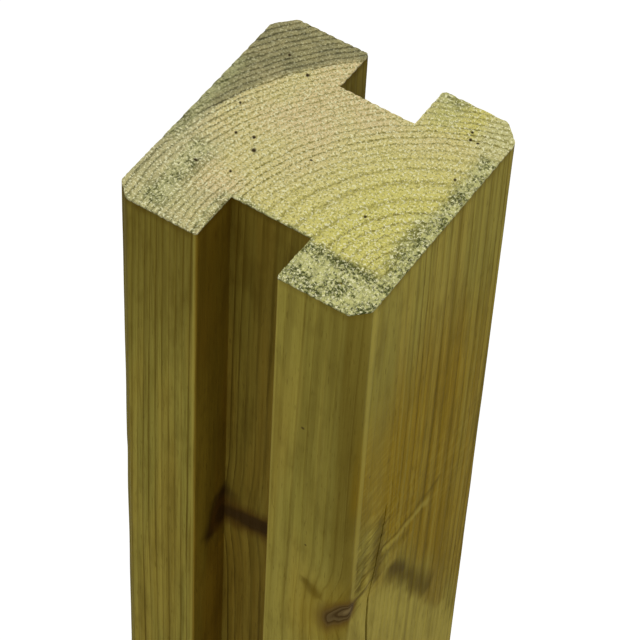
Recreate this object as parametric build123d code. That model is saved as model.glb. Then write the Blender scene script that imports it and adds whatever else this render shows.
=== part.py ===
from build123d import *
import os

# A slotted wooden fence post: one length of planed softwood with a groove for fence panels
# down two opposite faces. Millimetres, +Z up the post, origin at the middle of its foot.
# The front groove opens towards -Y and the back groove towards +Y.

# The timber
post_length = 1800.0
section_width = 94.0
section_depth = 97.0

# The groove in the front face
front_groove_width = 30.0
front_groove_depth = 19.5
front_groove_shift = 0.3

# The groove in the back face, which a second cutter makes, a little off the middle
back_groove_width = 28.7
back_groove_depth = 18.0
back_groove_shift = 1.6

# A flat planed on each long corner, with the flat's own two edges softened
front_arris_width = 5.5
front_arris_softening = 1.2
back_arris_width = 6.5
back_arris_softening = 4.0

# The lips of the grooves, and the small radius that the cutters leave in their corners
front_lip_radius = 0.8
back_lip_radius = 1.5
groove_corner_radius = 0.4

# The drying check in the right face: a V-shaped split that wanders with the grain. Each
# station says how far it is below the post's top, how far from the front face, and how
# much of the full mouth and depth the split has there.
check_mouth = 1.3
check_depth = 9.0
check_lean = 3.0
check_overcut = 0.5
check_stations = [
    (125.0, 26.0, 0.10),
    (140.0, 24.6, 0.45),
    (155.0, 22.0, 0.50),
    (171.0, 18.4, 0.80),
    (186.0, 18.8, 1.00),
    (202.0, 20.2, 1.00),
    (230.0, 20.8, 0.75),
    (262.0, 21.6, 0.10),
]


def timber_section():
    """The bar before it is grooved, with a flat on each of its four corners."""
    section = Rectangle(section_width, section_depth)
    section = chamfer(section.vertices().filter_by(lambda corner: corner.Y < 0), front_arris_width)
    back_corners = section.vertices().filter_by(lambda corner: corner.Y > section_depth / 2 - 0.01)
    section = chamfer(back_corners, back_arris_width)
    section = fillet(section.vertices().filter_by(lambda edge: edge.Y < 0), front_arris_softening)
    back_edges = section.vertices().filter_by(lambda edge: edge.Y > 0)
    return fillet(back_edges, back_arris_softening)


def cut_groove(section, side, width, depth, shift, lip_radius):
    """Cuts one groove into the section and eases its lips. side is -1 at the front, 1 at the back."""
    face = side * section_depth / 2
    floor = face - side * depth
    groove = Pos(shift, (face + floor) / 2) * Rectangle(width, depth)
    section = section - groove

    def walls_at(level):
        return section.vertices().filter_by(
            lambda corner: abs(corner.Y - level) < 1e-4
            and abs(abs(corner.X - shift) - width / 2) < 1e-4
        )

    section = fillet(walls_at(floor), groove_corner_radius)
    return fillet(walls_at(face), lip_radius)


def post_section():
    section = timber_section()
    section = cut_groove(
        section, -1, front_groove_width, front_groove_depth, front_groove_shift, front_lip_radius
    )
    return cut_groove(
        section, 1, back_groove_width, back_groove_depth, back_groove_shift, back_lip_radius
    )


def split_profile(below_top, from_front, share):
    """The split's triangle at one height: its mouth on the right face, its point in the wood."""
    face = section_width / 2
    middle = from_front - section_depth / 2
    depth = check_depth * share
    half = check_mouth * share / 2 * (depth + check_overcut) / depth
    corners = [
        (face + check_overcut, middle - half),
        (face + check_overcut, middle + half),
        (face - depth, middle + check_lean * share),
    ]
    plane = Plane.XY.offset(post_length - below_top)
    return plane * make_face(Polyline(*corners, close=True))


def drying_check():
    """The split as a whole. Its sides are ruled, so that they run straight between stations."""
    return loft([split_profile(*station) for station in check_stations], ruled=True)


post = extrude(post_section(), amount=post_length) - drying_check()
post.label = "post"

os.makedirs("parts", exist_ok=True)
export_step(post, "parts/post.step")
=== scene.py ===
import math
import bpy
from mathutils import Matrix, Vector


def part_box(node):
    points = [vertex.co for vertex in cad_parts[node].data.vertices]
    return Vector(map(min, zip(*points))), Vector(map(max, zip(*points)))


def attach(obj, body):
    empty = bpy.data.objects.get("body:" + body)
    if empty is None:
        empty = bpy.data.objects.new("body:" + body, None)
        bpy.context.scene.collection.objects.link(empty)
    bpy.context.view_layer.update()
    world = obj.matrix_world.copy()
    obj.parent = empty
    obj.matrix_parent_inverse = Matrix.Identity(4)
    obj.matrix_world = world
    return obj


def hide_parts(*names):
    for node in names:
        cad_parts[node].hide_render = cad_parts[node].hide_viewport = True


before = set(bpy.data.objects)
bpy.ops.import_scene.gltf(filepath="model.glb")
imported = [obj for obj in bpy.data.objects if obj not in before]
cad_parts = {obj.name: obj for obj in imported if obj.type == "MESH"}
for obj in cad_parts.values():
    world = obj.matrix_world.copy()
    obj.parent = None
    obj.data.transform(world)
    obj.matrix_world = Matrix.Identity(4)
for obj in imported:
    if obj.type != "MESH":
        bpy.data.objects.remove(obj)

from types import SimpleNamespace

import bmesh
import bpy
import numpy as np
from bpy.props import FloatProperty, FloatVectorProperty, PointerProperty
from mathutils import Matrix, Vector, noise

bl_info = {
    "name": "Slotted Fence Post",
    "version": (1, 0, 0),
    "blender": (4, 5, 0),
    "location": "3D View > Sidebar > Fence Post",
    "description": "Models a grooved softwood fence post with its grain, knots, split and stains",
    "category": "Object",
}

MM = 0.001
POST_LOW, POST_HIGH = (Vector(corner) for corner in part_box("post"))

# The wood is described in millimetres from the front left corner of the sawn top: x across
# the grooved face, y from the front groove to the back one, and z up, so the post is below 0.
WIDE = (POST_HIGH.x - POST_LOW.x) / MM
DEEP = (POST_HIGH.y - POST_LOW.y) / MM
LENGTH = (POST_HIGH.z - POST_LOW.z) / MM

# The pith lies just outside the right face, and swings a little along the post: how far,
# the millimetres that one radian of the swing takes, and its phase. DEEP_DRIFT is the share
# of the swing that goes from front to back.
PITH = (101.1, 20.7)
PITH_DRIFT = [(3.0, 410.0, 0.4), (2.2, 560.0, 2.1)]
DEEP_DRIFT = 0.6

# Growth rings are narrowest in one direction from the pith, counted from the x axis, and
# wider than elsewhere round one radius: half the rings that saves, the radius, and its spread
GROWTH_SIDE = math.radians(142.0)
GROWTH_EXCESS = 0.137
RING_OFFSET = -12.64
RING_SPACING = 2.382
WIDE_RINGS = (4.746, 40.8, 16.8)

# Slow waves in the ring radius: height, then wave numbers along x, y and z, then phase
RING_WAVES = [
    (0.32, 0.115, -0.085, 0.0060, 0.7),
    (0.24, -0.190, 0.150, 0.0110, 2.4),
    (0.15, 0.330, 0.270, -0.0170, 4.1),
    (0.10, -0.520, 0.410, 0.0230, 1.2),
    (0.55, 0.012, 0.018, 0.0145, 3.3),
    (1.50, 0.0, 0.0, 0.0125, 0.0),
]

# The dark late wood of a ring rises slowly to the end of its year, and falls off at once
LATE_RISE = (0.45, 0.90)
LATE_FALL = (0.93, 1.0)

# Branches that became knots: where each starts, near the pith, where it points, its radius
# there, how much that grows per millimetre, its length, and how far it pushes the rings aside
BRANCHES = [
    ("groove", (88.0, 20.0, -162.5), (-56.0, -3.0, -5.5), 2.0, 0.028, 60.0, 2.6),
    ("front corner", (94.8, 7.0, -163.0), (-3.4, -7.5, -2.4), 3.0, 0.105, 30.0, 5.0),
    ("lower left", (101.0, 21.0, -610.0), (-70.0, 22.0, -16.0), 2.5, 0.050, 130.0, 3.0),
    ("lower right", (101.0, 21.0, -618.0), (-8.0, 40.0, -18.0), 2.5, 0.060, 110.0, 3.0),
    ("middle front", (101.0, 21.0, -1015.0), (-24.0, -26.0, -9.0), 2.6, 0.070, 70.0, 3.0),
    ("middle back", (101.0, 21.0, -1022.0), (-40.0, 52.0, -16.0), 2.5, 0.050, 130.0, 3.0),
    ("foot left", (101.0, 21.0, -1442.0), (-66.0, 4.0, -14.0), 2.5, 0.055, 130.0, 3.0),
]

# How many knot radii away the rings still bend round a knot, how much further they do so
# along the post, and the stretch of the branch over which that begins
PUSH_REACH = 2.8
PUSH_SQUEEZE = 0.45
PUSH_START = (-8.0, 4.0)

# Blurred marks just under the surface, and the painted shade and highlights of a crease and near the front
# right corner: start, direction, radius, length, how dark, and colour
MARKS = [
    ("stripe", (94.0, 33.0, -170.0), (0.0, 36.0, -56.0), 3.9, 58.0, 0.80, "shadow"),
    ("stripe heart", (94.0, 35.0, -172.0), (0.0, 12.0, -14.0), 2.2, 13.0, 0.50, "knot"),
    ("bruise", (94.0, 22.5, -134.0), (0.0, 0.03, -1.0), 4.2, 30.0, 0.75, "shadow"),
    ("smudge", (81.5, 0.0, -154.0), (0.0, -1.0, 0.0), 3.9, 4.0, 0.42, "shadow"),
    ("smudge stroke", (78.5, 0.0, -151.0), (7.0, 0.0, -6.0), 1.9, 8.0, 0.80, "shadow"),
    # The crease entries are painted shade along a crease in the right face, with a painted highlight just
    # below it.
    ("crease", (94.0, 25.0, -149.0), (0.0, 38.0, -2.5), 0.9, 38.0, 0.55, "side_late_and_shade"),
    ("crease light", (94.0, 27.0, -152.0), (0.0, 30.0, -3.5), 1.1, 30.0, 0.50, "side_pale_and_highlight"),
    ("lower crease", (94.0, 28.0, -157.0), (0.0, 18.0, -4.5), 1.3, 16.0, 0.45, "side_late_and_shade"),
    ("groove wall", (32.0, 18.0, -155.0), (0.0, -0.42, -1.0), 4.8, 19.0, 1.00, "knot"),
    # Painted highlight: a pale band on the right face near its front corner, in the upper part of the post.
    ("corner highlight", (94.0, 16.0, -60.0), (0.0, 0.0, -1.0), 7.0, 80.0, 0.22, "side_pale_and_highlight"),
    ("resin", (86.0, 0.0, -168.0), (0.0, -1.0, 0.0), 13.0, 4.0, 0.45, "side_gold"),
]

# A slanting line on the right face, through this point and square to this direction, parts
# the pale wood below it from the golden wood above it
PALE_LINE = (94.0, 31.0, -168.0)
PALE_LINE_SIDE = (0.0, 0.841, 0.541)

# The drying split in the right face, as the frame has it: how far each point is below the
# top, how far from the front face, and how much of the full mouth and depth it has
SPLIT_MOUTH = 1.3
SPLIT_DEPTH = 9.0
SPLIT_LEAN = 3.0
SPLIT_PATH = np.array([
    (125.0, 26.0, 0.10),
    (140.0, 24.6, 0.45),
    (155.0, 22.0, 0.50),
    (171.0, 18.4, 0.80),
    (186.0, 18.8, 1.00),
    (202.0, 20.2, 1.00),
    (230.0, 20.8, 0.75),
    (262.0, 21.6, 0.10),
])

# The mesh column nearest to this place follows the split, and those within the reach move
# with it. This begins some length above the split, and ends some length below it.
SPLIT_COLUMN = 21.0
SPLIT_REACH = 14.0
SPLIT_LEAD_IN = 40.0
SPLIT_LEAD_OUT = 58.0

# Rows of the side mesh below the sawn top: how far down each stretch reaches, and its rows
SIDE_ROWS = [(6.0, 4), (112.0, 14), (212.0, 52), (270.0, 10), (LENGTH - 6.0, 15), (LENGTH, 3)]

# Stains and dirt go this far into the sawn top. Each patch has its left, front, right and
# back edge, its softness, and how strongly it shows.
STAIN_DEPTH = 2.0
MOULD_PATCHES = [
    (8.5, 3.0, 16.5, 34.0, 4.0, 1.00),
    (28.5, -1.0, 33.0, 20.0, 1.6, 0.60),
    (30.0, 18.0, 64.0, 20.6, 0.8, 0.80),
    (88.5, 8.0, 98.0, 80.0, 2.4, 1.00),
    (85.5, 22.0, 98.0, 48.0, 3.0, 0.80),
    (61.0, -3.0, 99.0, 18.4, 2.0, 1.00),
    (60.0, 92.0, 72.0, 99.0, 2.5, 0.60),
    (-3.0, -3.0, 32.0, 1.6, 1.2, 0.45),
    (-3.0, 30.0, 4.0, 72.0, 2.6, 0.65),
]
GREEN_PATCHES = [
    (-3.0, 8.0, 7.0, 68.0, 4.0, 0.80),
    (60.0, 84.0, 74.0, 99.0, 4.0, 0.45),
    (-3.0, -3.0, 26.0, 16.0, 6.0, 0.62),
    (6.0, 12.0, 18.0, 40.0, 4.0, 0.40),
]
LINED_PATCHES = [
    (-3.0, -3.0, 32.0, 20.0, 7.0, 0.90),
    (-3.0, -3.0, 14.0, 62.0, 5.0, 0.95),
    (62.0, 88.0, 84.0, 99.0, 5.0, 0.35),
]

# How far from the pith the grey outer wood starts
OUTER_WOOD = 98.5

# Pin holes and dark flecks in the sawn top: place, and radius
PIN_HOLES = [
    ((27.0, 39.8, 0.0), 0.75),
    ((23.9, 44.6, 0.0), 0.55),
    ((18.0, 43.0, 0.0), 0.45),
    ((14.2, 25.8, 0.0), 0.60),
    ((22.8, 77.3, 0.0), 0.55),
    ((13.0, 81.6, 0.0), 0.45),
    ((71.3, 36.4, 0.0), 0.50),
    ((44.3, 46.8, 0.0), 0.45),
    ((80.0, 86.6, 0.0), 0.50),
    ((81.2, 83.6, 0.0), 0.50),
    ((84.0, 83.5, 0.0), 0.50),
    ((86.1, 66.0, 0.0), 0.45),
    ((11.8, 54.6, 0.0), 0.40),
    ((26.0, 28.2, 0.0), 0.40),
]

# Dark flecks in the planed sides: place, and radius
SIDE_FLECKS = [((74.6, 0.0, -67.4), 0.75), ((78.2, 0.0, -130.0), 0.55), ((94.0, 12.5, -93.0), 0.6)]

# Heights in the relief, in millimetres: clumps torn out of the sawn top, the pin holes, the
# frayed top edge of the sides, and the torn strokes beside the split
CLUMP_DEPTH = 0.35
HOLE_DEPTH = 0.5
FRAY = 0.07
TEAR = 0.60

# How widely the wood's soft marks wander from where they are written
WANDER = 14.0


def length(name, description, metres):
    return FloatProperty(name=name, description=description, default=metres, unit="LENGTH")


def tone(name, description, colour):
    return FloatVectorProperty(name=name, description=description, default=colour, size=3, subtype="COLOR")


class PostSizes(bpy.types.PropertyGroup):
    front_groove_width: length("Front Groove Width", "Between the front groove's walls", 0.030)
    front_groove_depth: length("Front Groove Depth", "From the front face to the floor", 0.0195)
    front_groove_shift: length("Front Groove Shift", "To the right of the middle", 0.0003)
    back_groove_width: length("Back Groove Width", "Between the back groove's walls", 0.0287)
    back_groove_depth: length("Back Groove Depth", "From the back face to the floor", 0.018)
    back_groove_shift: length("Back Groove Shift", "To the right of the middle", 0.0016)
    front_arris: length("Front Arris", "Width taken off each front corner", 0.0055)
    back_arris: length("Back Arris", "Width taken off each back corner", 0.0065)
    front_softening: length("Front Softening", "Radius along the front flats' edges", 0.0012)
    back_softening: length("Back Softening", "Radius along the back flats' edges", 0.004)
    front_lip: length("Front Lip", "Radius of the front groove's lips", 0.0008)
    back_lip: length("Back Lip", "Radius of the back groove's lips", 0.0015)
    cell: length("Grain Cell", "Mesh spacing on the sawn top", 0.0006)
    saw_relief: length("Saw Relief", "Height of the torn fibres on the sawn top", 0.00040)
    side_relief: length("Side Relief", "Height of the grain on the planed sides", 0.00014)


class WoodColours(bpy.types.PropertyGroup):
    fresh_end: tone("Sawn End", "Clean end grain", (0.745, 0.650, 0.280))
    yellow_end: tone("Yellow End", "End grain near the pith", (0.715, 0.655, 0.170))
    pink_end: tone("Pink End", "End grain in the middle", (0.790, 0.640, 0.325))
    ring_line: tone("Ring Line", "Late wood in the end grain", (0.250, 0.220, 0.050))
    # Painted highlights where torn fibres on the sawn top catch the light
    tuft_highlight: tone("Fibre Tufts", "Torn fibres on the sawn top", (0.93, 0.90, 0.55))
    grey_stain: tone("Grey Stain", "Outer wood of the sawn end", (0.315, 0.288, 0.134))
    dark_stain: tone("Dark Stain", "Late wood in the stain", (0.080, 0.075, 0.036))
    mould: tone("Mould", "Dark specks of the mouldy areas", (0.086, 0.099, 0.025))
    bleached: tone("Bleached Wood", "Pale specks between the mould", (0.62, 0.63, 0.29))
    green_stain: tone("Green Stain", "Pale algae on the end grain", (0.37, 0.39, 0.20))
    pin_hole: tone("Pin Hole", "Holes and flecks in the sawn top", (0.05, 0.035, 0.015))
    side_early: tone("Planed Side", "Early wood on the sides", (0.380, 0.270, 0.036))
    # Late wood lines, and also painted shade: this colour darkens the flat of the front right corner and the
    # crease in the right face.
    side_late_and_shade: tone("Side Grain", "Late wood lines on the sides", (0.130, 0.086, 0.006))
    side_olive: tone("Olive Side", "Green tint of the preservative", (0.330, 0.275, 0.045))
    # Fresh pale wood, and also painted highlights: this colour lightens the groove lips, a band beside the
    # front right corner, and a streak below the crease.
    side_pale_and_highlight: tone("Pale Side", "Fresh wood below the slanting line", (0.50, 0.405, 0.075))
    side_gold: tone("Golden Side", "Brown wood above the slanting line", (0.335, 0.215, 0.010))
    shadow: tone("Shadow", "Blurred marks under the surface", (0.120, 0.080, 0.006))
    # Painted shade and darker wood inside the grooves: this tint multiplies the sides' colour there.
    groove: tone("Groove", "Tint of the wood inside the grooves", (0.58, 0.46, 0.22))
    knot_edge: tone("Knot Edge", "Resin round a knot", (0.135, 0.070, 0.010))
    knot: tone("Knot", "Dark wood of a knot", (0.062, 0.034, 0.008))
    knot_heart: tone("Knot Heart", "Pale middle of a knot", (0.235, 0.165, 0.062))


class StageSetup(bpy.types.PropertyGroup):
    lens: FloatProperty(name="Lens", description="Focal length", default=165.8, unit="CAMERA")
    azimuth: FloatProperty(
        name="Azimuth", description="Round the post from its front",
        default=math.radians(30.54), subtype="ANGLE",
    )
    elevation: FloatProperty(
        name="Elevation", description="Above the level", default=math.radians(50.56), subtype="ANGLE"
    )
    roll: FloatProperty(
        name="Roll", description="Tilt of the picture", default=math.radians(3.42), subtype="ANGLE"
    )
    aim: FloatVectorProperty(
        name="Aim", description="Where the camera looks, on the level of the sawn top",
        default=(0.0356, -0.0552, POST_HIGH.z), size=3, subtype="TRANSLATION",
    )
    distance: length("Distance", "From the aim to the camera", 0.8936)
    lamp_power: FloatProperty(name="Lamp", description="Power of the soft box", default=28.0, unit="POWER")
    lamp_width: length("Lamp Width", "Side of the square soft box", 1.4)
    lamp_place: FloatVectorProperty(
        name="Lamp Place", description="Where the soft box hangs",
        default=(0.62, -0.68, POST_HIGH.z + 1.9), size=3, subtype="TRANSLATION",
    )
    sky: FloatProperty(name="Sky", description="Light from all round", default=0.44, min=0.0)
    floor_width: length("Floor Width", "Side of the square floor", 24.0)
    floor_tone: tone("Floor", "Colour of the floor", (0.62, 0.62, 0.62))
    floor_glow: FloatProperty(
        name="Floor Glow", description="Added to the floor where the camera sees it", default=0.73, min=0.0
    )


def select_none():
    for thing in bpy.context.selected_objects:
        thing.select_set(False)


def from_corner(x, y, z=0.0):
    """A point in the post's frame, in metres, from millimetres off the top's front left corner."""
    return Vector((POST_LOW.x + x * MM, POST_LOW.y + y * MM, POST_HIGH.z + z * MM))


def smoothstep(low, high, value):
    share = np.clip((value - low) / (high - low), 0.0, 1.0)
    return share * share * (3.0 - 2.0 * share)


# The growth rings as a formula on arrays, for the relief

def branch_push(x, y, z):
    """How far the branches push the rings out at each place."""
    total = np.zeros_like(x)
    for _, start, way, radius, growth, reach, push in BRANCHES:
        unit = Vector(way).normalized()
        across, deep, up = x - start[0], y - start[1], z - start[2]
        along = across * unit.x + deep * unit.y + up * unit.z
        off = (across - along * unit.x) ** 2 + (deep - along * unit.y) ** 2
        off = np.sqrt(off + (PUSH_SQUEEZE * (up - along * unit.z)) ** 2)
        thick = radius + growth * np.clip(along, 0.0, reach)
        total += push * np.exp(-((off / (PUSH_REACH * thick)) ** 2)) * smoothstep(*PUSH_START, along)
    return total


def ring_number(x, y, z):
    """Which growth ring a place is in. A ring's dark line is just below the next whole number."""
    drift = 0.0
    for height, pace, phase in PITH_DRIFT:
        drift += height * np.sin(z / pace + phase) - height * math.sin(phase)
    across, deep = x - PITH[0] - drift, y - PITH[1] - DEEP_DRIFT * drift
    lead = across * math.cos(GROWTH_SIDE) + deep * math.sin(GROWTH_SIDE)
    radius = (1.0 - GROWTH_EXCESS) * np.hypot(across, deep) + GROWTH_EXCESS * lead
    for height, kx, ky, kz, phase in RING_WAVES:
        radius += height * np.sin(kx * x + ky * y + kz * z + phase)
    radius -= branch_push(x, y, z)
    saved, middle, spread = WIDE_RINGS
    return RING_OFFSET + radius / RING_SPACING - saved * np.tanh((radius - middle) / spread)


def late_wood(number):
    """How near a place is to the dark end of its ring."""
    share = number - np.floor(number)
    return smoothstep(*LATE_RISE, share) * (1.0 - smoothstep(*LATE_FALL, share))


# Modelling the post

def cut_line(place, normal, clear=True):
    bpy.ops.mesh.bisect(plane_co=place, plane_no=normal, clear_outer=clear, clear_inner=False)


def pick_faces(test):
    """Selects the faces whose middle, in millimetres across and in from the corner, passes the test."""
    mesh = bmesh.from_edit_mesh(bpy.context.edit_object.data)
    for face in mesh.faces:
        spot = face.calc_center_median() - from_corner(0.0, 0.0)
        face.select = bool(test(spot.x / MM, spot.y / MM))
    mesh.select_flush_mode()
    bmesh.update_edit_mesh(bpy.context.edit_object.data)


def cut_arris(corner_x, corner_y, flat, softening):
    """Takes a flat off one corner of the section, and softens the flat's two edges."""
    side_x = 1.0 if corner_x > WIDE / 2 else -1.0
    side_y = 1.0 if corner_y > DEEP / 2 else -1.0
    centre = Vector((-softening, -flat - (math.sqrt(2.0) - 1.0) * softening))
    for degrees in (45.0, 22.5, 67.5):
        turn = math.radians(degrees)
        across, deep = math.cos(turn), math.sin(turn)
        if degrees < 45.0:
            offset = across * centre.x + deep * centre.y + softening
        elif degrees > 45.0:
            offset = across * centre.y + deep * centre.x + softening
        else:
            offset = -flat / math.sqrt(2.0)
        place = from_corner(corner_x + side_x * across * offset, corner_y + side_y * deep * offset)
        bpy.ops.mesh.select_all(action="SELECT")
        cut_line(place, (side_x * across, side_y * deep, 0.0))


def cut_groove(side, width, depth, shift, lip):
    """Removes one groove from the section. side is -1 for the front one and 1 for the back one."""
    face = 0.0 if side < 0 else DEEP
    floor = face - side * depth
    middle = WIDE / 2 + shift
    walls = (middle - width / 2, middle + width / 2)
    beyond_floor = 2.0
    near_lip = 4.0
    pick_faces(lambda x, y: (y - floor) * side > -beyond_floor)
    for wall in walls:
        cut_line(from_corner(wall, floor), (1.0, 0.0, 0.0), clear=False)
    pick_faces(lambda x, y: (y - floor) * side > -beyond_floor and walls[0] < x < walls[1])
    cut_line(from_corner(middle, floor), (0.0, 1.0, 0.0), clear=False)
    pick_faces(lambda x, y: (y - floor) * side > 0.0 and walls[0] < x < walls[1])
    bpy.ops.mesh.delete(type="FACE")
    for wall, way in zip(walls, (1.0, -1.0)):
        pick_faces(lambda x, y: abs(x - wall) < near_lip and abs(y - face) < near_lip)
        offset = (math.sqrt(2.0) - 1.0) * lip / math.sqrt(2.0)
        cut_line(from_corner(wall - way * offset, face - side * offset), (way, side, 0.0))


def lay_section(sizes):
    """The sawn top as a fine sheet of faces, in the outline of the section."""
    across, deep = WIDE * MM, DEEP * MM
    bpy.ops.mesh.primitive_grid_add(
        x_subdivisions=round(across / sizes.cell), y_subdivisions=round(deep / sizes.cell), size=1.0
    )
    post = bpy.context.object
    bpy.ops.object.mode_set(mode="EDIT")
    bpy.ops.mesh.select_mode(type="FACE")
    bpy.ops.mesh.select_all(action="SELECT")
    bpy.ops.transform.resize(value=(across, deep, 1.0))
    middle_x, middle_y = (POST_LOW.x + POST_HIGH.x) / 2, (POST_LOW.y + POST_HIGH.y) / 2
    bpy.ops.transform.translate(value=(middle_x, middle_y, POST_HIGH.z))
    for corner_x in (0.0, WIDE):
        cut_arris(corner_x, 0.0, sizes.front_arris / MM, sizes.front_softening / MM)
        cut_arris(corner_x, DEEP, sizes.back_arris / MM, sizes.back_softening / MM)
    cut_groove(
        -1, sizes.front_groove_width / MM, sizes.front_groove_depth / MM,
        sizes.front_groove_shift / MM, sizes.front_lip / MM,
    )
    cut_groove(
        1, sizes.back_groove_width / MM, sizes.back_groove_depth / MM,
        sizes.back_groove_shift / MM, sizes.back_lip / MM,
    )
    bpy.ops.mesh.select_all(action="SELECT")
    bpy.ops.mesh.remove_doubles(threshold=sizes.cell / 5)
    return post


def draw_down_sides():
    """Pulls the outline of the top down to the foot, row by row, and closes the foot."""
    bpy.ops.mesh.select_mode(type="EDGE")
    bpy.ops.mesh.select_all(action="DESELECT")
    bpy.ops.mesh.select_non_manifold(
        extend=False, use_wire=False, use_boundary=True, use_multi_face=False,
        use_non_contiguous=False, use_verts=False,
    )
    reached = 0.0
    for depth, rows in SIDE_ROWS:
        step = (depth - reached) / rows
        for _ in range(rows):
            bpy.ops.mesh.extrude_edges_move(TRANSFORM_OT_translate={"value": (0.0, 0.0, -step * MM)})
        reached = depth
    bpy.ops.mesh.edge_face_add()
    bpy.ops.mesh.select_all(action="SELECT")
    bpy.ops.mesh.normals_make_consistent(inside=False)
    bpy.ops.object.mode_set(mode="OBJECT")


def read_points(mesh):
    """The places of a mesh's points, and the normals there."""
    spots = np.empty(len(mesh.vertices) * 3)
    mesh.vertices.foreach_get("co", spots)
    normals = np.empty(len(mesh.vertices) * 3)
    mesh.vertices.foreach_get("normal", normals)
    return spots.reshape(-1, 3), normals.reshape(-1, 3)


def grain_noise(x, y, z, size, stretch=1.0, seed=0.0):
    """Smooth noise from -1 to 1 at each place, with lumps of that size, longer along the post."""
    scaled = zip(x / size + seed, y / size - seed, z / (size * stretch) + 2.0 * seed)
    return np.array([noise.noise(spot) for spot in scaled])


def rough_share(x, y):
    """Where the sawn top is torn and mouldy: the front right flange and the right edge."""
    flange = smoothstep(59.0, 63.0, x) * (1.0 - smoothstep(16.0, 20.0, y))
    edge = smoothstep(84.5, 88.5, x) * (1.0 - smoothstep(74.0, 82.0, y))
    return np.maximum(flange, edge)


def saw_speckle(x, y, z):
    """The torn fibres that a saw leaves: lumps of two sizes, and single points."""
    single = np.random.default_rng(7).uniform(-1.0, 1.0, len(x))
    small = grain_noise(x, y, z, 1.1, seed=3.0)
    large = grain_noise(x, y, z, 2.3, seed=7.0)
    return 0.65 * small + 0.35 * large + 0.42 * single


def raise_top(x, y, z, late, rough, speckle, relief):
    """Heights on the sawn top: torn fibres, sunk rings, clumps torn out, and pin holes."""
    height = relief * (speckle * (1.0 + 1.9 * rough) - 0.75 * late * (1.0 - 0.5 * rough))
    height -= CLUMP_DEPTH * rough * np.clip(grain_noise(x, y, z, 4.5, seed=11.0), 0.0, 1.0)
    for (hole_x, hole_y, _), radius in PIN_HOLES:
        height -= HOLE_DEPTH * np.exp(-((np.hypot(x - hole_x, y - hole_y) / radius) ** 2))
    return height


def tear_strokes(x, y, z):
    """Slanting strokes of torn grain on the right face, on both sides of the split's upper end."""
    strokes = grain_noise(y * 0.30 + z * 0.10, z, x, 3.0, seed=13.0)
    across = smoothstep(6.0, 11.0, y) * (1.0 - smoothstep(22.0, 62.0, y))
    down = smoothstep(118.0, 130.0, -z) * (1.0 - smoothstep(160.0, 172.0, -z))
    upper_end = SPLIT_PATH[[0, 2, 3]]
    off_split = np.abs(y - np.interp(-z, upper_end[:, 0], upper_end[:, 1]))
    return strokes * across * down * smoothstep(0.8, 4.0, off_split)


def raise_sides(x, y, z, late, rough, on_right, relief):
    """Heights on the planed sides: long fibres, sunk rings, the frayed top edge, and the tears."""
    height = relief * (0.8 * grain_noise(x, y, z, 1.3, stretch=22.0, seed=5.0) - 1.1 * late)
    frayed = FRAY * grain_noise(x, y, z, 1.2, seed=9.0) * (1.0 + 2.0 * rough)
    height += frayed * (1.0 - smoothstep(0.0, 3.0, -z))
    return height + np.where(on_right, TEAR * tear_strokes(x, y, z), 0.0)


def open_split(x, y, z, on_right):
    """Leads the mesh's columns along the split, then pushes the middle one into the wood."""
    below = -z
    depths, centres, shares = SPLIT_PATH.T
    centre = np.interp(below, depths, centres)
    share = np.interp(below, depths, shares, left=0.0, right=0.0)
    columns = np.unique(np.round(y[on_right & (z < -1.0)], 2))
    home = columns[np.argmin(np.abs(columns - SPLIT_COLUMN))]
    off = np.abs(y - home)
    lead = (centre - home) * (1.0 - smoothstep(0.0, SPLIT_REACH, off))
    lead *= smoothstep(depths[0] - SPLIT_LEAD_IN, depths[0], below)
    lead *= 1.0 - smoothstep(depths[-1], depths[-1] + SPLIT_LEAD_OUT, below)
    spacing = np.diff(columns).mean()
    middle = on_right & (off < 0.3 * spacing)
    beside = on_right & (np.abs(off - spacing) < 0.3 * spacing)
    new_x = x - np.where(middle, SPLIT_DEPTH * share, 0.0)
    new_y = y + np.where(on_right, lead, 0.0) + np.where(middle, SPLIT_LEAN * share, 0.0)
    mouth = np.sign(y - home) * (SPLIT_MOUTH / 2 * share - spacing) * smoothstep(0.0, 0.3, share)
    return new_x, new_y + np.where(beside, mouth, 0.0)


def carve_relief(post, sizes):
    """Moves the points of the finished form: torn fibres and rings on top, grain on the sides."""
    spots, normals = read_points(post.data)
    corner = np.array(from_corner(0.0, 0.0))
    x, y, z = ((spots - corner) / MM).T
    top = z > -0.01
    foot = z < -LENGTH + 0.01
    on_right = (x > WIDE - 0.02) & ~foot
    sideways = np.linalg.norm(normals[:, :2], axis=1)
    on_side = sideways > 0.2
    late = late_wood(ring_number(x, y, z))
    rough = rough_share(x, y)
    speckle = saw_speckle(x, y, z)
    top_height = raise_top(x, y, z, late, rough, speckle, sizes.saw_relief / MM)
    top_height *= np.where(on_side, 0.4, 1.0)
    foot_height = 0.5 * sizes.saw_relief / MM * (1.0 + speckle)
    side_height = raise_sides(x, y, z, late, rough, on_right, sizes.side_relief / MM)
    outward = np.stack([normals[:, 0], normals[:, 1], 0.0 * z], axis=1)
    outward /= np.maximum(sideways, 1e-6)[:, None]
    moved = np.stack([*open_split(x, y, z, on_right & ~top), z], axis=1)
    moved += outward * np.where(on_side & ~foot, side_height, 0.0)[:, None]
    moved[:, 2] += np.where(top, top_height, 0.0) + np.where(foot, foot_height, 0.0)
    post.data.vertices.foreach_set("co", (moved * MM + corner).ravel())
    post.data.update()


# Wood as shader nodes

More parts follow.
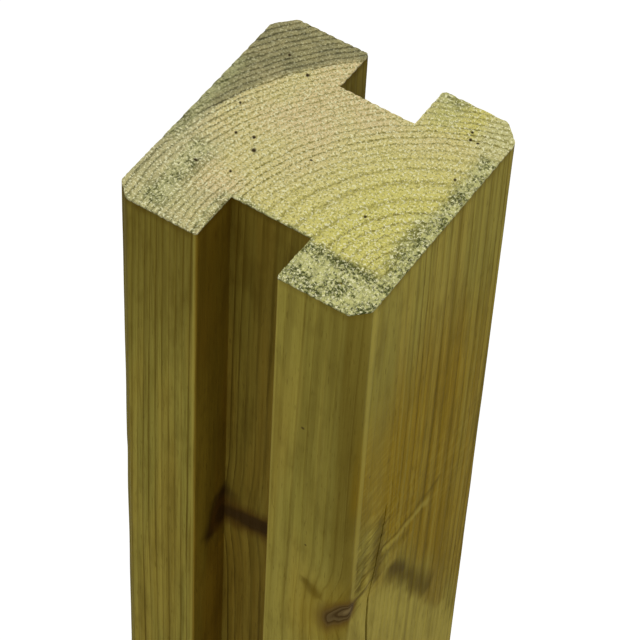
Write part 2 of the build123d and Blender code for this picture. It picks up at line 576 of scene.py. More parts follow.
class Nodes:
    """Adds nodes to one shader tree and joins them, so that a sum reads as a line of code."""

    def __init__(self, tree):
        self.tree = tree

    def add(self, kind, **settings):
        node = self.tree.nodes.new(kind)
        for name, value in settings.items():
            setattr(node, name, value)
        return node

    def feed(self, socket, value):
        """Links a socket to another one, or sets the value that it keeps."""
        if isinstance(value, bpy.types.NodeSocket):
            self.tree.links.new(value, socket)
        elif hasattr(value, "__len__") and len(value) == 3 and socket.type == "RGBA":
            socket.default_value = (*value, 1.0)
        else:
            socket.default_value = value

    def sum(self, operation, *values, clamp=False):
        node = self.add("ShaderNodeMath", operation=operation, use_clamp=clamp)
        for socket, value in zip(node.inputs, values):
            self.feed(socket, value)
        return node.outputs[0]

    def times(self, product, *masks):
        for mask in masks:
            product = self.sum("MULTIPLY", product, mask)
        return product

    def vector(self, operation, *values, scale=None):
        node = self.add("ShaderNodeVectorMath", operation=operation)
        for socket, value in zip(node.inputs, values):
            self.feed(socket, value)
        if scale is not None:
            self.feed(node.inputs["Scale"], scale)
        return node.outputs["Value" if operation in {"DOT_PRODUCT", "LENGTH"} else "Vector"]

    def noise(self, place, size, detail=2.0, roughness=0.5, stretch=(1.0, 1.0, 1.0)):
        """Noise from 0 to 1 with lumps of that size in millimetres, stretched along an axis."""
        scaled = self.vector("MULTIPLY", place, tuple(1.0 / (size * share) for share in stretch))
        node = self.add("ShaderNodeTexNoise")
        self.feed(node.inputs["Vector"], scaled)
        self.feed(node.inputs["Scale"], 1.0)
        self.feed(node.inputs["Detail"], detail)
        self.feed(node.inputs["Roughness"], roughness)
        return node.outputs["Fac"]

    def smooth(self, value, low, high, start=0.0, end=1.0):
        """Goes from start to end while the value goes from low to high."""
        node = self.add("ShaderNodeMapRange", interpolation_type="SMOOTHSTEP")
        for socket, given in zip(node.inputs, (value, low, high, start, end)):
            self.feed(socket, given)
        return node.outputs["Result"]

    def fade(self, mask, least):
        """1 outside a mask, and down to the least share inside it."""
        return self.smooth(mask, 0.0, 1.0, 1.0, least)

    def blend(self, share, first, second, way="MIX"):
        node = self.add("ShaderNodeMix", data_type="RGBA", blend_type=way)
        node.clamp_factor = True
        self.feed(node.inputs[0], share)
        pair = [socket for socket in node.inputs if socket.type == "RGBA"]
        for socket, value in zip(pair, (first, second)):
            self.feed(socket, value)
        return next(socket for socket in node.outputs if socket.type == "RGBA")

    def paint(self, colour, over, *masks):
        """Lays one colour over another, as thickly as the product of the masks."""
        return self.blend(self.times(*masks), colour, over)

    def parts(self, place):
        node = self.add("ShaderNodeSeparateXYZ")
        self.feed(node.inputs[0], place)
        return node.outputs

    def join(self, x, y, z):
        node = self.add("ShaderNodeCombineXYZ")
        for socket, value in zip(node.inputs, (x, y, z)):
            self.feed(socket, value)
        return node.outputs[0]

    def use(self, group, **values):
        node = self.add("ShaderNodeGroup", node_tree=group)
        for name, value in values.items():
            self.feed(node.inputs[name.replace("_", " ")], value)
        return node.outputs

    def show(self, shader, kind="Material"):
        """Ends the tree with a shader."""
        self.feed(self.add(f"ShaderNodeOutput{kind}").inputs["Surface"], shader)


def clear_nodes(owner):
    """Empties the shader tree of a material or a world, and gives its nodes."""
    owner.use_nodes = True
    owner.node_tree.nodes.clear()
    return Nodes(owner.node_tree)


def start_group(name, vectors, numbers, outputs):
    """A new shader group, its nodes, and its input and output sockets. Its outputs are numbers."""
    tree = bpy.data.node_groups.new(name, "ShaderNodeTree")
    rows = (("INPUT", "Vector", vectors), ("INPUT", "Float", numbers), ("OUTPUT", "Float", outputs))
    for direction, kind, sockets in rows:
        for socket in sockets:
            tree.interface.new_socket(socket, in_out=direction, socket_type=f"NodeSocket{kind}")
    nodes = Nodes(tree)
    return tree, nodes, nodes.add("NodeGroupInput").outputs, nodes.add("NodeGroupOutput").inputs


def make_branch_group():
    """One branch inside the wood: how far off its axis a place is, and how it pushes the rings."""
    tree, n, given, result = start_group(
        "Branch In Wood", ["Place", "Start", "Way"], ["Radius", "Growth", "Reach", "Push"], ["Ratio", "Push"]
    )
    off = n.vector("SUBTRACT", given["Place"], given["Start"])
    along = n.vector("DOT_PRODUCT", off, given["Way"])
    beside = n.vector("SUBTRACT", off, n.vector("SCALE", given["Way"], scale=along))
    reached = n.sum("MINIMUM", n.sum("MAXIMUM", along, 0.0), given["Reach"])
    thick = n.sum("MULTIPLY_ADD", reached, given["Growth"], given["Radius"])
    outside = n.sum("ABSOLUTE", n.sum("SUBTRACT", along, reached))
    knot_off = n.vector("LENGTH", n.vector("MULTIPLY", beside, (1.0, 1.0, 0.7)))
    n.feed(result["Ratio"], n.sum("DIVIDE", n.sum("ADD", knot_off, outside), thick))
    push_off = n.vector("LENGTH", n.vector("MULTIPLY", beside, (1.0, 1.0, PUSH_SQUEEZE)))
    scaled = n.sum("DIVIDE", push_off, n.times(thick, PUSH_REACH))
    fall = n.sum("EXPONENT", n.times(n.sum("POWER", scaled, 2.0), -1.0))
    n.feed(result["Push"], n.times(fall, n.smooth(along, *PUSH_START), given["Push"]))
    return tree


def make_knots_group(branch):
    """All the branches together: the nearest one's ratio, and the sum of what they push."""
    tree, n, given, result = start_group("Knots", ["Place"], [], ["Ratio", "Push"])
    ratio, push = 50.0, 0.0
    wobble = n.noise(given["Place"], 7.0, detail=1.0)
    place = n.vector("ADD", given["Place"], n.join(0.0, 0.0, n.sum("MULTIPLY_ADD", wobble, 4.0, -2.0)))
    for _, start, way, radius, growth, reach, strength in BRANCHES:
        found = n.use(
            branch, Place=place, Start=start, Way=tuple(Vector(way).normalized()),
            Radius=radius, Growth=growth, Reach=reach, Push=strength,
        )
        ratio = n.sum("MINIMUM", found["Ratio"], ratio)
        push = n.sum("ADD", found["Push"], push)
    n.feed(result["Ratio"], ratio)
    n.feed(result["Push"], push)
    return tree


def make_rings_group():
    """The growth rings by the formula of ring_number: how dark they are, and how strong each one is."""
    tree, n, given, result = start_group(
        "Growth Rings", ["Place"], ["Push", "Fray"], ["Radius", "Reach", "Late Wood", "Line", "Strength"]
    )
    x, y, z = n.parts(given["Place"])
    drift = 0.0
    for height, pace, phase in PITH_DRIFT:
        swing = n.sum("SINE", n.sum("MULTIPLY_ADD", z, 1.0 / pace, phase))
        drift = n.sum("ADD", n.sum("MULTIPLY_ADD", swing, height, -height * math.sin(phase)), drift)
    across = n.sum("SUBTRACT", n.sum("SUBTRACT", x, PITH[0]), drift)
    deep = n.sum("SUBTRACT", n.sum("SUBTRACT", y, PITH[1]), n.times(drift, DEEP_DRIFT))
    level = n.join(across, deep, 0.0)
    lead = n.vector("DOT_PRODUCT", level, (math.cos(GROWTH_SIDE), math.sin(GROWTH_SIDE), 0.0))
    reach = n.vector("LENGTH", level)
    n.feed(result["Reach"], n.sum("SUBTRACT", reach, given["Push"]))
    radius = n.sum("MULTIPLY_ADD", lead, GROWTH_EXCESS, n.times(reach, 1.0 - GROWTH_EXCESS))
    for height, kx, ky, kz, phase in RING_WAVES:
        angle = n.sum("ADD", n.vector("DOT_PRODUCT", given["Place"], (kx, ky, kz)), phase)
        radius = n.sum("MULTIPLY_ADD", n.sum("SINE", angle), height, radius)
    radius = n.sum("SUBTRACT", radius, given["Push"])
    n.feed(result["Radius"], radius)
    saved, middle, spread = WIDE_RINGS
    bend = n.sum("TANH", n.sum("DIVIDE", n.sum("SUBTRACT", radius, middle), spread))
    number = n.sum("MULTIPLY_ADD", radius, 1.0 / RING_SPACING, RING_OFFSET)
    number = n.sum("MULTIPLY_ADD", bend, -saved, number)
    ring = n.sum("FLOOR", n.sum("ADD", number, 0.1))
    strength = n.noise(n.join(ring, 3.7, 0.5), 1.6, detail=1.0)
    n.feed(result["Strength"], n.smooth(strength, 0.35, 0.65, 0.60, 1.20))
    share = n.sum("FRACT", n.sum("ADD", number, given["Fray"]))
    fall = n.smooth(share, *LATE_FALL, 1.0, 0.0)
    n.feed(result["Late Wood"], n.times(n.smooth(share, *LATE_RISE), fall))
    n.feed(result["Line"], n.times(n.smooth(share, 0.70, 0.88), fall))
    return tree


def make_patch_group():
    """A stain in a box of wood, with a soft edge. The place is frayed before it comes in."""
    tree, n, given, result = start_group("Stain Patch", ["Place", "Middle", "Half"], ["Softness"], ["Mask"])
    off = n.vector("ABSOLUTE", n.vector("SUBTRACT", given["Place"], given["Middle"]))
    x, y, z = n.parts(n.vector("SUBTRACT", off, given["Half"]))
    outside = n.sum("MAXIMUM", n.sum("MAXIMUM", x, y), z)
    soft = given["Softness"]
    n.feed(result["Mask"], n.smooth(outside, n.times(soft, -1.0), soft, 1.0, 0.0))
    return tree


def patch_mask(n, patch, place, patches):
    """The strongest of a list of patches at each place."""
    mask = 0.0
    for left, front, right, back, softness, strength in patches:
        middle = ((left + right) / 2, (front + back) / 2, 0.0)
        half = ((right - left) / 2, (back - front) / 2, STAIN_DEPTH)
        found = n.use(patch, Place=place, Middle=middle, Half=half, Softness=softness)
        mask = n.sum("MAXIMUM", n.times(found["Mask"], strength), mask)
    return mask


def make_stains_group():
    """Outer wood, mould and green algae on the sawn top, and the specks that they are made of."""
    patch = make_patch_group()
    tree, n, given, result = start_group(
        "End Grain Stains", ["Place"], ["Reach"], ["Outer", "Lined", "Mould", "Green", "Specks"]
    )
    place = given["Place"]
    _, y, _ = n.parts(place)
    broad = n.noise(place, 9.0, detail=3.0, roughness=0.6)
    fine = n.noise(place, 2.0, detail=3.0, roughness=0.65)
    fray = n.sum("ADD", n.sum("MULTIPLY_ADD", broad, 7.0, -3.5), n.sum("MULTIPLY_ADD", fine, 4.4, -2.2))
    frayed = n.vector("ADD", place, n.join(fray, n.times(fray, 0.7), 0.0))
    for output, patches in (("Mould", MOULD_PATCHES), ("Green", GREEN_PATCHES), ("Lined", LINED_PATCHES)):
        n.feed(result[output], patch_mask(n, patch, frayed, patches))
    edge = n.sum("ADD", given["Reach"], n.sum("MULTIPLY_ADD", fine, 3.0, -1.5))
    outer = n.smooth(edge, OUTER_WOOD - 0.8, OUTER_WOOD + 1.6)
    towards_back = n.smooth(n.sum("ADD", y, n.times(broad, 20.0)), 14.0, 78.0, 0.20, 1.0)
    n.feed(result["Outer"], n.times(outer, towards_back, n.smooth(broad, 0.25, 0.75, 0.70, 1.1)))
    coarse = n.noise(place, 1.3, detail=4.0, roughness=0.75)
    clumps = n.noise(place, 7.0, detail=1.0)
    specks = n.sum("ADD", coarse, n.sum("MULTIPLY_ADD", clumps, 0.44, -0.21))
    n.feed(result["Specks"], n.smooth(specks, 0.42, 0.58))
    return tree


def make_fibres_group():
    """Fibres along the post: fine streaks, broader ones, and short dark pores."""
    tree, n, given, result = start_group("Long Fibres", ["Place"], [], ["Fine", "Broad", "Pores"])
    place = given["Place"]
    n.feed(result["Fine"], n.noise(place, 0.55, detail=3.0, roughness=0.6, stretch=(1.0, 1.0, 38.0)))
    n.feed(result["Broad"], n.noise(place, 3.2, detail=3.0, roughness=0.55, stretch=(1.0, 1.0, 30.0)))
    pores = n.noise(place, 0.7, detail=1.0, stretch=(1.0, 1.0, 9.0))
    n.feed(result["Pores"], n.smooth(pores, 0.63, 0.74))
    return tree


def fleck_mask(n, place, flecks, inner, outer):
    """Round flecks, dark up to one share of their radius and gone at another."""
    mask = 0.0
    for spot, radius in flecks:
        off = n.vector("LENGTH", n.vector("SUBTRACT", place, spot))
        mask = n.sum("MAXIMUM", n.smooth(off, inner * radius, outer * radius, 1.0, 0.0), mask)
    return mask


def paint_sawn_end(n, place, colours, rings, stains):
    """The sawn top and foot: clean wood, ring lines, stains, mould, painted highlights on torn fibres, and
    pin holes.
    """
    x, y, _ = n.parts(place)
    broad = n.noise(place, 26.0, detail=2.0)
    back_flange = n.times(n.smooth(x, 60.0, 68.0), n.smooth(y, 72.0, 88.0))
    to_corner = n.smooth(x, 79.0, 87.0)
    yellow = n.smooth(n.sum("ADD", rings["Radius"], n.times(broad, 26.0)), 40.0, 88.0, 1.0, 0.0)
    yellow_back = n.times(back_flange, n.smooth(to_corner, 0.0, 1.0, 0.9, 0.15))
    colour = n.paint(colours.fresh_end, colours.yellow_end, n.sum("MAXIMUM", yellow, yellow_back))
    pink = n.times(n.smooth(rings["Radius"], 52.0, 70.0), n.smooth(broad, 0.35, 0.6))
    colour = n.paint(colour, colours.pink_end, pink, n.fade(back_flange, 0.2), 0.9)
    colour = n.paint(colour, colours.bleached, back_flange, to_corner, 0.55)

    colour = n.paint(colour, colours.yellow_end, rings["Late Wood"], 0.20)
    dots = n.smooth(n.noise(place, 1.0, detail=2.0, roughness=0.6), 0.40, 0.56)
    dotted = n.sum("MULTIPLY_ADD", dots, 0.65, 0.22)
    colour = n.paint(colour, colours.ring_line, rings["Line"], rings["Strength"], dotted)
    specks = n.noise(place, 0.85, detail=2.0, roughness=0.75)
    colour = n.paint(colour, colours.ring_line, n.smooth(specks, 0.50, 0.63, 0.0, 0.72))

    colour = n.paint(colour, colours.green_stain, stains["Green"], 0.7)
    late = n.times(rings["Late Wood"], rings["Strength"])
    dotted = n.sum("MULTIPLY_ADD", dots, 0.30, 0.60)
    colour = n.paint(colour, colours.dark_stain, late, stains["Lined"], dotted)
    outer = n.paint(colours.grey_stain, colours.dark_stain, late, 0.80)
    outer = n.paint(outer, colours.dark_stain, n.smooth(specks, 0.50, 0.66, 0.0, 0.55))
    colour = n.paint(colour, outer, stains["Outer"])
    mould = n.paint(colours.mould, colours.bleached, stains["Specks"])
    colour = n.paint(colour, mould, stains["Mould"], n.fade(stains["Specks"], 0.70))

    # Painted highlights: pale specks where torn fibres catch the light
    tuft_highlights = n.noise(n.vector("ADD", place, (31.0, 7.0, 0.0)), 0.85, detail=2.0, roughness=0.7)
    tuft_highlights = n.smooth(tuft_highlights, 0.525, 0.64, 0.0, 0.95)
    colour = n.paint(colour, colours.tuft_highlight, tuft_highlights, n.fade(stains["Outer"], 0.35))
    return n.paint(colour, colours.pin_hole, fleck_mask(n, n.join(x, y, 0.0), PIN_HOLES, 0.6, 1.6))


def groove_masks(n, x, inward, width, depth, shift, before, beyond):
    """How far a place is from a groove's middle, and whether it is in the groove. The mask
    fades from before the floor to beyond it."""
    half, floor = width / MM / 2, depth / MM
    off_middle = n.sum("ABSOLUTE", n.sum("SUBTRACT", x, WIDE / 2 + shift / MM))
    walls = n.smooth(off_middle, half, half + 0.8, 1.0, 0.0)
    return off_middle, n.times(n.smooth(inward, floor - before, floor + beyond, 1.0, 0.0), walls)


def find_zones(n, place, sizes):
    """Masks for the parts of the planed sides that differ, and the distances that they share."""
    x, y, z = n.parts(place)
    zone = SimpleNamespace()
    zone.wander = n.sum("MULTIPLY_ADD", n.noise(place, 12.0, detail=2.0), WANDER, -WANDER / 2)
    zone.back = n.sum("ADD", y, zone.wander)
    zone.right = n.smooth(x, WIDE - 3.0, WIDE - 0.8)
    zone.front = n.smooth(y, 2.0, 4.0, 1.0, 0.0)
    zone.flange = n.times(n.smooth(x, 60.0, 64.0), zone.front)

    off_line = n.vector("DOT_PRODUCT", n.vector("SUBTRACT", place, PALE_LINE), PALE_LINE_SIDE)
    zone.off_line = n.sum("ADD", off_line, zone.wander)
    zone.below_line = n.times(
        n.smooth(zone.off_line, -9.0, -1.0, 0.95, 0.0),
        n.smooth(z, -182.0, -162.0, 1.0, 0.0), n.smooth(z, -420.0, -250.0, 0.25, 1.0),
    )

    zone.off_middle, front_groove = groove_masks(
        n, x, y, sizes.front_groove_width, sizes.front_groove_depth, sizes.front_groove_shift,
        before=0.7, beyond=0.8,
    )
    _, back_groove = groove_masks(
        n, x, n.sum("SUBTRACT", DEEP, y),
        sizes.back_groove_width, sizes.back_groove_depth, sizes.back_groove_shift,
        before=0.4, beyond=0.6,
    )
    # Where the groove tint goes, as painted shade and darker wood: full in the front groove, weak in the
    # back one.
    zone.grooves = n.sum("MAXIMUM", front_groove, n.times(back_groove, 0.2))
    half, floor = sizes.front_groove_width / MM / 2, sizes.front_groove_depth / MM
    near_floor = n.smooth(y, floor + 0.5, floor + 1.5, 1.0, 0.0)
    zone.near_groove = n.times(near_floor, n.smooth(zone.off_middle, half + 0.2, half + 1.0, 1.0, 0.0))

    near_front = n.sum("MAXIMUM", zone.below_line, n.smooth(zone.back, 22.0, 46.0, 1.0, 0.0))
    calm = n.sum("MAXIMUM", n.times(zone.right, near_front), n.times(zone.flange, 0.7))
    walls = n.times(front_groove, n.smooth(zone.off_middle, half - 1.0, half - 0.3, 0.0, 0.75))
    zone.calm = n.sum("MAXIMUM", calm, walls)
    return zone


def paint_side_tints(n, place, colours, zone):
    """The ground colour of the sides: olive, golden and pale areas of the treated wood."""
    x, y, z = n.parts(place)
    tint = n.noise(place, 16.0, detail=2.0, stretch=(1.0, 1.0, 9.0))
    olive = n.smooth(tint, 0.40, 0.62, 0.0, 0.75)
    olive = n.sum("MULTIPLY_ADD", n.smooth(y, 0.0, 30.0, 1.0, 0.0), 0.45, olive)
    olive = n.sum("ADD", olive, n.smooth(z, -80.0, -20.0, 0.0, 0.45), clamp=True)
    colour = n.paint(colours.side_early, colours.side_olive, olive)

    gold = n.times(n.smooth(zone.off_line, 2.0, 16.0, 0.0, 0.95), n.smooth(z, -100.0, -35.0, 1.0, 0.0))
    gold = n.times(gold, n.smooth(zone.back, 66.0, 86.0, 1.0, 0.35))
    colour = n.paint(colour, colours.side_gold, gold, zone.right)
    pale = n.times(n.sum("MAXIMUM", zone.below_line, n.smooth(z, -75.0, -12.0, 0.0, 0.38)), zone.right)
    low_flange = n.times(zone.flange, n.smooth(z, -165.0, -110.0, 0.45, 0.05))
    colour = n.paint(colour, colours.side_pale_and_highlight, n.sum("MAXIMUM", pale, low_flange))

    drifted = n.sum("ADD", x, n.times(zone.wander, 0.45))
    upper = n.times(n.smooth(x, 60.0, 62.0), zone.front, n.smooth(z, -165.0, -95.0))
    colour = n.paint(colour, colours.side_late_and_shade, upper, n.smooth(drifted, 74.0, 81.0, 0.0, 0.26))
    return n.paint(colour, colours.side_pale_and_highlight, upper, n.smooth(drifted, 67.0, 75.0, 0.22, 0.0))


def paint_side_grain(n, place, colour, colours, rings, fibres, zone):
    """Ring lines, torn strokes, fibre streaks and broad bands along the sides."""
    _, y, z = n.parts(place)
    late = n.sum("MULTIPLY_ADD", rings["Line"], 0.48, n.times(rings["Late Wood"], 0.36))
    broken = n.smooth(fibres["Broad"], 0.30, 0.62, 0.60, 1.15)
    shown = n.times(rings["Strength"], broken, n.fade(zone.calm, 0.25), n.fade(zone.right, 0.68))
    colour = n.paint(colour, colours.side_late_and_shade, late, shown)

    faint_above = n.smooth(z, -118.0, -40.0, 0.35, 0.0)
    torn = n.sum("MAXIMUM", n.smooth(z, -132.0, -118.0, 1.0, 0.0), faint_above)
    torn = n.times(torn, n.smooth(z, -176.0, -160.0), zone.right)
    torn = n.times(torn, n.smooth(y, 18.0, 34.0, 1.0, 0.15), n.smooth(y, 6.0, 9.0))
    strokes = n.noise(place, 2.3, detail=1.0, stretch=(1.0, 4.2, 1.0))
    colour = n.paint(colour, colours.side_late_and_shade, torn, n.smooth(strokes, 0.50, 0.64, 0.0, 0.75))
    colour = n.paint(colour, colours.side_pale_and_highlight, torn, n.smooth(strokes, 0.36, 0.48, 0.80, 0.0))

    streak = n.sum("MULTIPLY_ADD", fibres["Fine"], 0.7, n.times(fibres["Broad"], 0.3))
    shown = n.fade(zone.calm, 0.45)
    colour = n.paint(colour, colours.side_late_and_shade, n.smooth(streak, 0.48, 0.68, 0.0, 0.46), shown)
    colour = n.paint(colour, colours.side_pale_and_highlight, n.smooth(streak, 0.32, 0.48, 0.26, 0.0), shown)
    colour = n.paint(colour, colours.side_late_and_shade, fibres["Pores"], 0.40)

    bands = n.noise(n.join(rings["Radius"], n.times(y, 0.12), n.times(z, 0.022)), 2.6, detail=1.0)
    colour = n.paint(colour, colours.side_late_and_shade, n.smooth(bands, 0.48, 0.68, 0.0, 0.30))
    return n.paint(colour, colours.side_pale_and_highlight, n.smooth(bands, 0.34, 0.50, 0.20, 0.0))


def paint_side_darkening_and_highlights(n, place, colour, colours, sizes, zone):
    """Dull patches, the dark top of the sides, painted highlights on the groove lips and beside the front
    corner's flat, and painted shade on that flat.
    """
    x, y, z = n.parts(place)
    dull = n.noise(place, 7.0, detail=3.0, roughness=0.6, stretch=(1.0, 1.0, 3.5))
    dark_top = n.times(n.smooth(z, -95.0, -4.0, 0.0, 0.48), n.smooth(x, 40.0, 66.0, 1.0, 0.0))
    dark = n.sum("ADD", dark_top, n.smooth(dull, 0.45, 0.72, 0.0, 0.30))
    dark = n.sum("ADD", dark, n.smooth(z, -4.5, -1.0, 0.0, 0.30))
    colour = n.paint(colour, colours.side_late_and_shade, dark)

    # Painted highlights along both lips of the front groove, on the front face
    lip = sizes.front_groove_width / MM / 2 + 0.5
    off_lip = n.sum("ABSOLUTE", n.sum("SUBTRACT", zone.off_middle, lip))
    lips = n.times(n.smooth(off_lip, 0.3, 1.0, 0.50, 0.0), n.smooth(y, 0.5, 1.6, 1.0, 0.0))
    colour = n.paint(colour, colours.side_pale_and_highlight, lips)

    # Painted shade on the flat of the front right corner, which faces the lamp and would otherwise render
    # lighter than the faces beside it
    flat = sizes.front_arris / MM
    to_corner = n.sum("ADD", n.sum("SUBTRACT", WIDE, x), y)
    colour = n.paint(colour, colours.side_late_and_shade, n.smooth(to_corner, flat - 1.1, flat + 1.9, 0.66, 0.0))
    # Painted highlight in a thin band on the right face, just beside the flat of the front right corner
    edge_highlight = n.smooth(to_corner, flat + 0.3, flat + 1.1)
    edge_highlight = n.times(edge_highlight, n.smooth(to_corner, flat + 2.1, flat + 3.9, 0.45, 0.0))
    return n.paint(colour, colours.side_pale_and_highlight, edge_highlight, zone.right)


def paint_marks(n, place, colour, colours, branch, fibres, zone):
    """The stripe, smudges and creases in the sides, and the dark flecks."""
    aside = n.join(0.0, n.times(zone.wander, 0.15), n.times(zone.wander, 0.6))
    drawn = n.vector("ADD", place, aside)
    for _, start, way, radius, reach, strength, tone_name in MARKS:
        found = n.use(
            branch, Place=drawn, Start=start, Way=tuple(Vector(way).normalized()),
            Radius=radius, Growth=0.0, Reach=reach, Push=0.0,
        )
        mark = n.smooth(found["Ratio"], 0.10, 1.75, strength, 0.0)
        streaked = n.smooth(fibres["Broad"], 0.3, 0.6, 0.75, 1.0)
        colour = n.paint(colour, getattr(colours, tone_name), mark, streaked)
    return n.paint(colour, colours.knot, fleck_mask(n, place, SIDE_FLECKS, 0.4, 1.2), 0.8)


def paint_knots(n, colour, colours, ratio, zone):
    """Knots with a resin edge, dark wood and a pale heart. Inside the groove the heart hardly shows."""
    year_rings = n.smooth(n.sum("FRACT", n.times(ratio, 2.6)), 0.2, 0.8, 0.0, 0.45)
    heart = n.sum("MAXIMUM", n.smooth(ratio, 0.12, 0.50, 0.90, 0.0), year_rings)
    knot = n.paint(colours.knot, colours.knot_heart, heart, n.fade(zone.near_groove, 0.12))
    colour = n.paint(colour, colours.knot_edge, n.smooth(ratio, 0.9, 2.4, 0.8, 0.0))
    return n.paint(colour, knot, n.smooth(ratio, 0.65, 1.35, 1.0, 0.0), 0.92)


def add_grain_bump(n, place, rings, fibres, end):
    """Fine grain that is too small for the mesh: coarse on the sawn ends, in lines on the sides."""
    torn = n.noise(place, 0.5, detail=3.0, roughness=0.7)
    end_height = n.sum("MULTIPLY_ADD", torn, 1.0, n.times(rings["Line"], -0.35))
    side_height = n.sum("MULTIPLY_ADD", fibres["Fine"], 0.5, n.times(fibres["Pores"], -0.25))
    side_height = n.sum("MULTIPLY_ADD", rings["Line"], -0.25, side_height)
    bump = n.add("ShaderNodeBump")
    bump.inputs["Strength"].default_value = 0.7
    bump.inputs["Distance"].default_value = 0.25 * MM
    n.feed(bump.inputs["Height"], n.sum("ADD", n.times(end_height, n.times(end, 3.2)), side_height))
    return bump.outputs["Normal"]


def make_wood(colours, sizes):
    """The whole finish of the post: sawn ends, planed sides, knots, grooves and marks, with painted shade
    and painted highlights among them.
    """
    branch = make_branch_group()
    wood = bpy.data.materials.new("treated_softwood")
    n = clear_nodes(wood)
    from_middle = n.add("ShaderNodeTexCoord").outputs["Object"]
    to_place = n.vector("SUBTRACT", from_middle, tuple(from_corner(0.0, 0.0)))
    place = n.vector("SCALE", to_place, scale=1.0 / MM)
    upward = n.parts(n.add("ShaderNodeNewGeometry").outputs["Normal"])[2]
    level = n.smooth(n.sum("ABSOLUTE", upward), 0.55, 0.72)
    end = n.sum("MAXIMUM", level, n.smooth(n.parts(place)[2], -0.9, -0.5))

    knots = n.use(make_knots_group(branch), Place=place)
    grit = n.noise(place, 0.9, detail=3.0, roughness=0.7)
    saw_fray = n.times(n.sum("MULTIPLY_ADD", grit, 0.50, -0.25), end)
    rings = n.use(make_rings_group(), Place=place, Push=knots["Push"], Fray=saw_fray)
    stains = n.use(make_stains_group(), Place=place, Reach=rings["Reach"])
    fibres = n.use(make_fibres_group(), Place=place)
    zone = find_zones(n, place, sizes)

    end_colour = paint_sawn_end(n, place, colours, rings, stains)
    colour = paint_side_tints(n, place, colours, zone)
    colour = paint_side_grain(n, place, colour, colours, rings, fibres, zone)
    colour = paint_side_darkening_and_highlights(n, place, colour, colours, sizes, zone)
    colour = paint_marks(n, place, colour, colours, branch, fibres, zone)
    colour = paint_knots(n, colour, colours, knots["Ratio"], zone)
    # Painted shade and darker wood: the grooves' walls and floors are multiplied by the groove tint.
    colour = n.blend(zone.grooves, colour, colours.groove, way="MULTIPLY")

    shader = n.add("ShaderNodeBsdfPrincipled")
    n.feed(shader.inputs["Base Color"], n.blend(end, colour, end_colour))
    roughness = n.sum("MULTIPLY_ADD", fibres["Fine"], 0.18, n.sum("MULTIPLY_ADD", end, 0.22, 0.56))
    n.feed(shader.inputs["Roughness"], roughness)
    shader.inputs["Specular IOR Level"].default_value = 0.05
    n.feed(shader.inputs["Normal"], add_grain_bump(n, place, rings, fibres, end))
    n.show(shader.outputs[0])
    return wood


class FENCEPOST_OT_model_post(bpy.types.Operator):
    """Model the grooved post with its sawn top, planed sides, split and grain"""

    bl_idname = "fence_post.model_post"
    bl_label = "Model Post"

    def execute(self, context):
        sizes = context.scene.fence_post_sizes
        select_none()
        post = lay_section(sizes)
        post.name = post.data.name = "grooved_post"
        draw_down_sides()
        carve_relief(post, sizes)
        select_none()
        post.select_set(True)
        context.view_layer.objects.active = post
        bpy.ops.object.shade_smooth_by_angle(angle=math.radians(50.0))
        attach(post, "root")
        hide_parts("post")
        return {"FINISHED"}


class FENCEPOST_OT_finish_wood(bpy.types.Operator):
    """Give the post its end grain, side grain, knots, stains and dirt"""

    bl_idname = "fence_post.finish_wood"
    bl_label = "Finish Wood"

    def execute(self, context):
        post = bpy.data.objects.get("grooved_post")
        if post is None:
            raise RuntimeError("Model the post before its finish")
        wood = make_wood(context.scene.fence_post_colours, context.scene.fence_post_sizes)
        post.data.materials.clear()
        post.data.materials.append(wood)
        return {"FINISHED"}


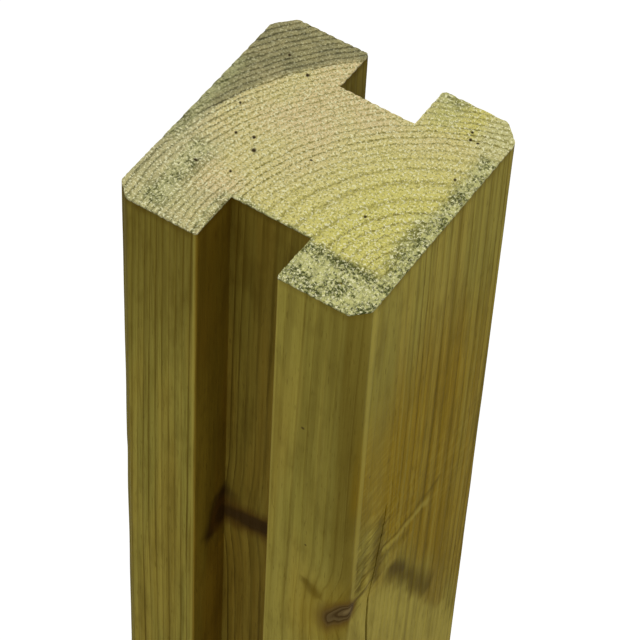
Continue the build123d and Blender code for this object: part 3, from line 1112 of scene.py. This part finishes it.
class FENCEPOST_OT_set_stage(bpy.types.Operator):
    """Set up the pale floor, the soft light and the camera"""

    bl_idname = "fence_post.set_stage"
    bl_label = "Set Stage"

    def execute(self, context):
        setup = context.scene.fence_post_stage
        self.lay_floor(setup)
        self.hang_lamp(setup)
        self.light_sky(setup)
        self.place_camera(setup)
        context.scene.view_settings.view_transform = "Standard"
        return {"FINISHED"}

    def lay_floor(self, setup):
        """A matt floor that takes the post's shadow, and looks nearly white to the camera."""
        select_none()
        bpy.ops.mesh.primitive_plane_add(size=setup.floor_width, location=(0.0, 0.0, POST_LOW.z))
        floor = bpy.context.object
        floor.name = floor.data.name = "floor"
        paper = bpy.data.materials.new("pale_floor")
        n = clear_nodes(paper)
        matt = n.add("ShaderNodeBsdfDiffuse")
        n.feed(matt.inputs["Color"], setup.floor_tone)
        glow = n.add("ShaderNodeEmission")
        n.feed(glow.inputs["Color"], (1.0, 1.0, 1.0))
        seen = n.add("ShaderNodeLightPath").outputs["Is Camera Ray"]
        n.feed(glow.inputs["Strength"], n.times(seen, setup.floor_glow))
        both = n.add("ShaderNodeAddShader")
        n.feed(both.inputs[0], matt.outputs[0])
        n.feed(both.inputs[1], glow.outputs[0])
        n.show(both.outputs[0])
        floor.data.materials.append(paper)

    def hang_lamp(self, setup):
        select_none()
        place = Vector(setup.lamp_place)
        bpy.ops.object.light_add(type="AREA", location=place)
        lamp = bpy.context.object
        lamp.name = "soft_box"
        lamp.data.shape = "SQUARE"
        lamp.data.size = setup.lamp_width
        lamp.data.energy = setup.lamp_power
        way = Vector((0.0, 0.0, POST_HIGH.z)) - place
        lamp.rotation_euler = way.to_track_quat("-Z", "Y").to_euler()

    def light_sky(self, setup):
        """Even light from all round, and plain white where the camera or a reflection sees it."""
        world = bpy.data.worlds.new("white_room")
        bpy.context.scene.world = world
        n = clear_nodes(world)
        rays = n.add("ShaderNodeLightPath").outputs
        mirrored = n.sum("MAXIMUM", rays["Is Glossy Ray"], rays["Is Transmission Ray"])
        seen = n.sum("MAXIMUM", rays["Is Camera Ray"], mirrored)
        sky = n.add("ShaderNodeBackground")
        n.feed(sky.inputs["Color"], (1.0, 1.0, 1.0))
        n.feed(sky.inputs["Strength"], n.smooth(seen, 0.0, 1.0, setup.sky, 1.0))
        n.show(sky.outputs[0], "World")

    def place_camera(self, setup):
        select_none()
        level = math.cos(setup.elevation)
        away = Vector((
            math.sin(setup.azimuth) * level, -math.cos(setup.azimuth) * level, math.sin(setup.elevation)
        ))
        bpy.ops.object.camera_add(location=Vector(setup.aim) + away * setup.distance)
        camera = bpy.context.object
        camera.name = "camera"
        camera.data.lens = setup.lens
        turn = (-away).to_track_quat("-Z", "Y").to_matrix() @ Matrix.Rotation(setup.roll, 3, "Z")
        camera.rotation_euler = turn.to_euler()
        camera.data.clip_start = 0.05
        camera.data.clip_end = 100.0
        bpy.context.scene.camera = camera


class FENCEPOST_PT_panel(bpy.types.Panel):
    bl_label = "Fence Post"
    bl_idname = "FENCEPOST_PT_panel"
    bl_space_type = "VIEW_3D"
    bl_region_type = "UI"
    bl_category = "Fence Post"

    def draw(self, context):
        for operator in OPERATORS:
            self.layout.operator(operator.bl_idname)
        for group in SETTINGS:
            settings = getattr(context.scene, group)
            box = self.layout.box()
            for name in settings.__annotations__:
                box.prop(settings, name)


SETTINGS = {
    "fence_post_sizes": PostSizes,
    "fence_post_colours": WoodColours,
    "fence_post_stage": StageSetup,
}
OPERATORS = (FENCEPOST_OT_model_post, FENCEPOST_OT_finish_wood, FENCEPOST_OT_set_stage)


def register():
    for kind in (*SETTINGS.values(), *OPERATORS, FENCEPOST_PT_panel):
        bpy.utils.register_class(kind)
    for name, group in SETTINGS.items():
        setattr(bpy.types.Scene, name, PointerProperty(type=group))


def unregister():
    for name in SETTINGS:
        delattr(bpy.types.Scene, name)
    for kind in (FENCEPOST_PT_panel, *OPERATORS, *SETTINGS.values()):
        bpy.utils.unregister_class(kind)


def main():
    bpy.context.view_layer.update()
    register()
    bpy.ops.fence_post.model_post()
    bpy.ops.fence_post.finish_wood()
    bpy.ops.fence_post.set_stage()


if __name__ == "__main__":
    main()
